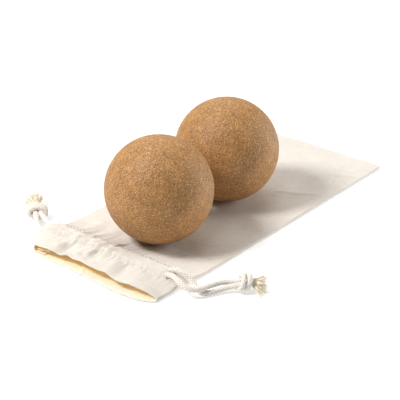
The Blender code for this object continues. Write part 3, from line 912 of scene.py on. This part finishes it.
def ring(x, front, back, inset):
    """One ring across the pouch: front to the left, left side, back to the right, right side."""
    rounding = CORNER_RADIUS - min(CORNER_RADIUS, CLOSED - x)
    cut = CORNER_RADIUS - math.sqrt(CORNER_RADIUS ** 2 - rounding ** 2) + inset
    right = -right_side(x) + cut
    left = left_side(x) - cut
    radius_right = max(0.05, (front(x, right + 0.6) - back(x, right + 0.6)) / 2)
    radius_left = max(0.05, (front(x, left - 0.6) - back(x, left - 0.6)) / 2)
    right_part = np.linspace(right + radius_right, SLIT_Y - SLIT_CUT, SLIT_COLUMN + 1)
    left_part = np.linspace(SLIT_Y + SLIT_CUT, left - radius_left, FRONT_COLUMNS - SLIT_COLUMN - 1)
    front_y = opened_slit(x, np.concatenate([right_part, left_part]))
    back_y = np.linspace(left - radius_left, right + radius_right, BACK_COLUMNS)
    front_z = front(x, front_y)
    back_z = back(x, back_y)
    round_turn = np.linspace(0.0, math.pi, SIDE_COLUMNS + 2)[1:-1]

    def side(y, upper, lower, outwards):
        middle, radius = (upper + lower) / 2, (upper - lower) / 2
        return y + outwards * abs(radius) * np.sin(round_turn), middle + radius * np.cos(round_turn)

    left_y, left_z = side(front_y[-1], front_z[-1], back_z[0], 1.0)
    right_y, right_z = side(back_y[-1], front_z[0], back_z[-1], -1.0)
    y = np.concatenate([front_y, left_y, back_y, right_y[::-1]])
    z = np.concatenate([front_z, left_z, back_z, right_z[::-1]])
    return y, z


def is_front():
    """1 for the front's columns, 0 for the back's, and in between round each side."""
    turn = np.linspace(1.0, 0.0, SIDE_COLUMNS + 2)[1:-1]
    return np.concatenate([np.ones(FRONT_COLUMNS), turn, np.zeros(BACK_COLUMNS), turn[::-1]])


def row_places():
    """Where the rings lie along the pouch, from the closed end to the lip."""
    end = CLOSED - 0.5 * END_CLOSING * (1.0 - np.cos(np.linspace(0.05, 0.5, END_ROWS) * math.pi))
    body = np.linspace(CLOSED - END_CLOSING, FINER_FROM, BODY_ROWS)
    mouth = np.linspace(FINER_FROM - 0.4, FRONT_LIP, MOUTH_ROWS)
    return np.concatenate([end, body, mouth])


def hem_places():
    """Where the rings of the turned-in hem lie, from the lip back to the inner stitch line."""
    return np.linspace(FRONT_LIP, INNER_STITCH + 1.0, HEM_ROWS)


def lip_shift(x, y, front_share):
    """How far a ring's points move along the pouch so that the lips follow their own lines."""
    reach = np.clip((OUTER_STITCH - x) / (OUTER_STITCH - FRONT_LIP), 0.0, 1.0) ** 1.4
    line = front_share * front_lip_line(y) + (1.0 - front_share) * back_lip_line(y)
    return reach * (line - FRONT_LIP)


def placed_ring(x, front, back, inset=0.0):
    y, z = ring(x, front, back, inset)
    return np.column_stack([x + gather_pull(x, y) + lip_shift(x, y, is_front()), y, z])


def closing_height(height, middle):
    """The same height, brought together at the closed end."""
    def closed(x, y):
        near = max(0.0, (x - (CLOSED - END_CLOSING)) / END_CLOSING)
        return middle + (height(x, y) - middle) * math.sqrt(max(0.0, 1.0 - near ** 2))
    return closed


def sheet_points():
    """Every point of the sheet, and the row where its turn at the lip starts."""
    middle = (BODY_FRONT + BODY_BACK) / 2
    front, back = closing_height(front_height, middle), closing_height(back_height, middle)
    outer = [placed_ring(x, front, back) for x in row_places()]
    hem = [placed_ring(x, front_hem_height, back_hem_height, HEM_GAP) for x in hem_places()]
    turn = []
    for angle in np.linspace(0.0, math.pi, TURN_ROWS + 2)[1:-1]:
        between, apart = (outer[-1] + hem[0]) / 2, (outer[-1] - hem[0]) / 2
        bulge = np.linalg.norm(apart, axis=1)[:, None] * np.array([-1.0, 0.0, 0.0])
        turn.append(between + apart * math.cos(angle) + bulge * math.sin(angle))
    return np.array(outer + turn + hem), len(outer)


def sheet_normals(points, ring_shaped=True):
    """Which way the cloth's outside faces at every point."""
    if ring_shaped:
        across = np.roll(points, -1, axis=1) - np.roll(points, 1, axis=1)
    else:
        across = np.gradient(points, axis=1)
    along = np.gradient(points, axis=0)
    normals = np.cross(across, along)
    return normals / np.linalg.norm(normals, axis=2)[:, :, None]


def cloth_piece(name, points, normals, chosen, materials, inside):
    """Both faces of the chosen squares of the cloth, closed along their edges."""
    rows, columns = chosen.shape
    outside_face = (points + normals * THICKNESS) * MM
    vertices = np.concatenate([outside_face.reshape(-1, 3), points.reshape(-1, 3) * MM])
    facing = np.concatenate([normals.reshape(-1, 3), -normals.reshape(-1, 3)])
    row, column = np.nonzero(chosen)
    beside = (column + 1) % columns
    square = np.column_stack([row * columns + column, row * columns + beside,
                              (row + 1) * columns + beside, (row + 1) * columns + column])
    under = len(vertices) // 2
    faces = [square, square[:, ::-1] + under]
    kinds = [inside[row], np.ones(len(row), int)]
    padded = np.pad(chosen, ((1, 1), (0, 0)))
    neighbours = (padded[row, column], chosen[row, beside], padded[row + 2, column], chosen[row, column - 1])
    for step, beyond in enumerate(neighbours):
        first, second = square[~beyond, step], square[~beyond, (step + 1) % 4]
        faces.append(np.column_stack([second, first, first + under, second + under]))
        kinds.append(inside[row[~beyond]])
    faces = np.concatenate(faces)
    used, faces = np.unique(faces, return_inverse=True)
    piece = add_mesh(name, vertices[used], faces.reshape(-1, 4).tolist(), materials[0])
    piece.data.materials.append(materials[1])
    piece.data.polygons.foreach_set("material_index", np.concatenate(kinds).astype(int))
    piece.data.normals_split_custom_set_from_vertices(facing[used])
    return piece


def loose_layer(name, x_range, y_range, height, materials):
    """A piece of cloth over a stretch of x and y, at the height that the function gives."""
    x = np.linspace(*x_range, 2 + int(abs(x_range[1] - x_range[0]) / 0.8))
    y = np.linspace(*y_range, 16)
    places_x, places_y = np.meshgrid(x, y, indexing="ij")
    frayed_y = places_y + 0.3 * waves(places_x, (5.0, 8.3), 41)
    points = np.stack([places_x, frayed_y, height(places_x, places_y)], axis=2)
    chosen = np.ones((len(x) - 1, len(y)), bool)
    chosen[:, -1] = False
    normals = sheet_normals(points, ring_shaped=False)
    layer = cloth_piece(name, points, normals, chosen, materials, np.zeros(len(x), int))
    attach(layer, "pouch")
    return layer


def sew_seams(materials):
    """The sewn edges inside the pouch. Those at the mouth's left corner show."""
    def under_lip(x, y):
        return 2.6 + 0.10 * (44.0 - y) + 0.25 * waves(x + y, (6.0, 9.0), 51)

    def on_hem(x, y):
        return 1.35 + 0.05 * (44.0 - y) + 0.15 * waves(x - y, (5.0, 8.0), 52)

    def hidden(x, y):
        return np.full_like(x, 0.78)

    side = loose_layer("side_seam_edges", (-72.0, 104.0), (43.5, 50.2), hidden, materials)
    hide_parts("side_seam_allowance")
    bottom = loose_layer("bottom_seam_edges", (106.5, 112.6), (-48.0, 48.0), hidden, materials)
    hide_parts("bottom_seam_allowance")
    # The seam edges at the mouth's corner take the calico with painted glow on both faces.
    painted_glow_pair = (materials[1], materials[1])
    upper = loose_layer("mouth_seam_edge_upper", (-109.4, -97.0), (33.0, 43.2), under_lip, painted_glow_pair)
    lower = loose_layer("mouth_seam_edge_lower", (-110.6, -97.0), (36.0, 43.4), on_hem, painted_glow_pair)
    return [side, bottom, upper, lower]


STITCH_LENGTH = 2.5
STITCH_STEP = 3.1
STITCH_RADIUS = 0.25
STITCH_AROUND = 8


def stitch_row(node, places, material):
    """Short stitches one after the other. places gives the point at a distance along the row."""
    rows = []
    length = max(high - low for low, high in zip(*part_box(node))) / MM
    for start in np.arange(0.5, length - STITCH_LENGTH - 0.5, STITCH_STEP):
        along = np.linspace(0.0, 1.0, 9)
        points = np.array([places(start + t * STITCH_LENGTH) for t in along])
        points[:, 2] += 0.10 * np.sin(math.pi * along) - 0.04
        ends = np.sin(math.pi * np.clip(along, 0.08, 0.92)) ** 0.4
        radii = ends[:, None] * np.full((1, STITCH_AROUND), STITCH_RADIUS * MM)
        rows.append(tube_surface(points * MM, radii, STITCH_AROUND))
    stitches = add_mesh(node + "_thread", *join_surfaces(rows), material)
    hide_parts(node)
    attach(stitches, "pouch")


def sew_stitches():
    grey = thread_material("grey sewing thread", (0.46, 0.42, 0.46), (0.32, 0.28, 0.32))
    cream = thread_material("cream sewing thread", (0.80, 0.75, 0.68), (0.70, 0.64, 0.56))
    for node, x, material in (
        ("front_inner_stitch", STITCH_LINE, grey),
        ("front_outer_stitch", OUTER_STITCH - 0.3, cream),
    ):
        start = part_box(node)[0][1] / MM + 8.0
        def on_front(distance, x=x, start=start):
            y = start + distance * 0.88
            return x + gather_pull(x, y), y, front_height(x, y) + THICKNESS
        stitch_row(node, on_front, material)
    for node, x in (("back_inner_stitch", INNER_STITCH), ("back_outer_stitch", OUTER_STITCH)):
        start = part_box(node)[0][1] / MM
        def under_back(distance, x=x, start=start):
            return x, start + distance, 0.16
        stitch_row(node, under_back, cream)
    low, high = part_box("side_seam_stitch")
    stitch_row("side_seam_stitch", lambda distance: (low[0] / MM + distance, low[1] / MM, 0.9), cream)
    stitch_row("bottom_seam_stitch", lambda distance: (CLOSED - 1.2, -46.0 + distance * 0.92, 0.9), cream)


def sheet_squares(columns, lip_row):
    """Which squares of the sheet are cloth, and which of those are the mouth's front edge."""
    places = np.concatenate([row_places(), np.full(TURN_ROWS, FRONT_LIP), hem_places()])
    places = (places[:-1] + places[1:]) / 2
    outer = np.arange(len(places)) < lip_row
    column = np.arange(columns)
    chosen = np.ones((len(places), columns), bool)
    slit_rows = outer & (places > SLIT_FROM) & (places < SLIT_TO)
    chosen[slit_rows, SLIT_COLUMN] = False
    open_rows = outer & (places > CHANNEL_END_FROM) & (places < CHANNEL_END_TO)
    left_turn = (column >= FRONT_COLUMNS - 1) & (column < FRONT_COLUMNS + SIDE_COLUMNS)
    chosen[np.ix_(open_rows, left_turn)] = False
    half_side = SIDE_COLUMNS // 2
    on_front = (column < FRONT_COLUMNS - 1 + half_side) | (column >= columns - half_side)
    return chosen, (places < HINGE)[:, None] & on_front[None, :] & chosen


def build_pouch():
    outside = calico_material("calico", (0.79, 0.745, 0.68), (0.705, 0.65, 0.575))
    # Painted light: the inner faces use a lighter, warmer copy of the same calico, tinted golden and glowing
    # inwards from the mouth, for daylight that comes through the cloth.
    inside_cloth_painted_glow = calico_material("calico in the mouth with painted glow", (0.90, 0.84, 0.75), (0.82, 0.75, 0.65), glow=True)
    materials = (outside, inside_cloth_painted_glow)
    points, lip_row = sheet_points()
    normals = sheet_normals(points)
    inside = (np.arange(len(points) - 1) >= lip_row + TURN_ROWS // 2).astype(int)
    chosen, header = sheet_squares(points.shape[1], lip_row)
    y = (points[:-1, :, 1] + points[1:, :, 1]) / 2
    middle_part = header & (np.abs(y) < HEADER_MIDDLE)
    left_part = header & (y >= HEADER_MIDDLE)
    right_part = header & (y <= -HEADER_MIDDLE)

    sleeve = cloth_piece("pouch_sleeve", points, normals, chosen & ~header, materials, inside)
    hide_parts("pouch_back_panel", "pouch_front_panel", "pouch_back_facing", "pouch_front_facing")
    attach(sleeve, "pouch")

    middle_piece = cloth_piece("front_lip_middle", points, normals, middle_part, materials, inside)
    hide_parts("pouch_front_header")
    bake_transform(middle_piece)
    for name, part, side in (("front_lip_left", left_part, 1.0), ("front_lip_right", right_part, -1.0)):
        corner = cloth_piece(name, points, normals, part, materials, inside)
        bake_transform(corner)
    allowances = sew_seams(materials)


place_camera()
light_the_set()
lay_floor()
build_drawcords()
build_balls()
build_pouch()
sew_stitches()
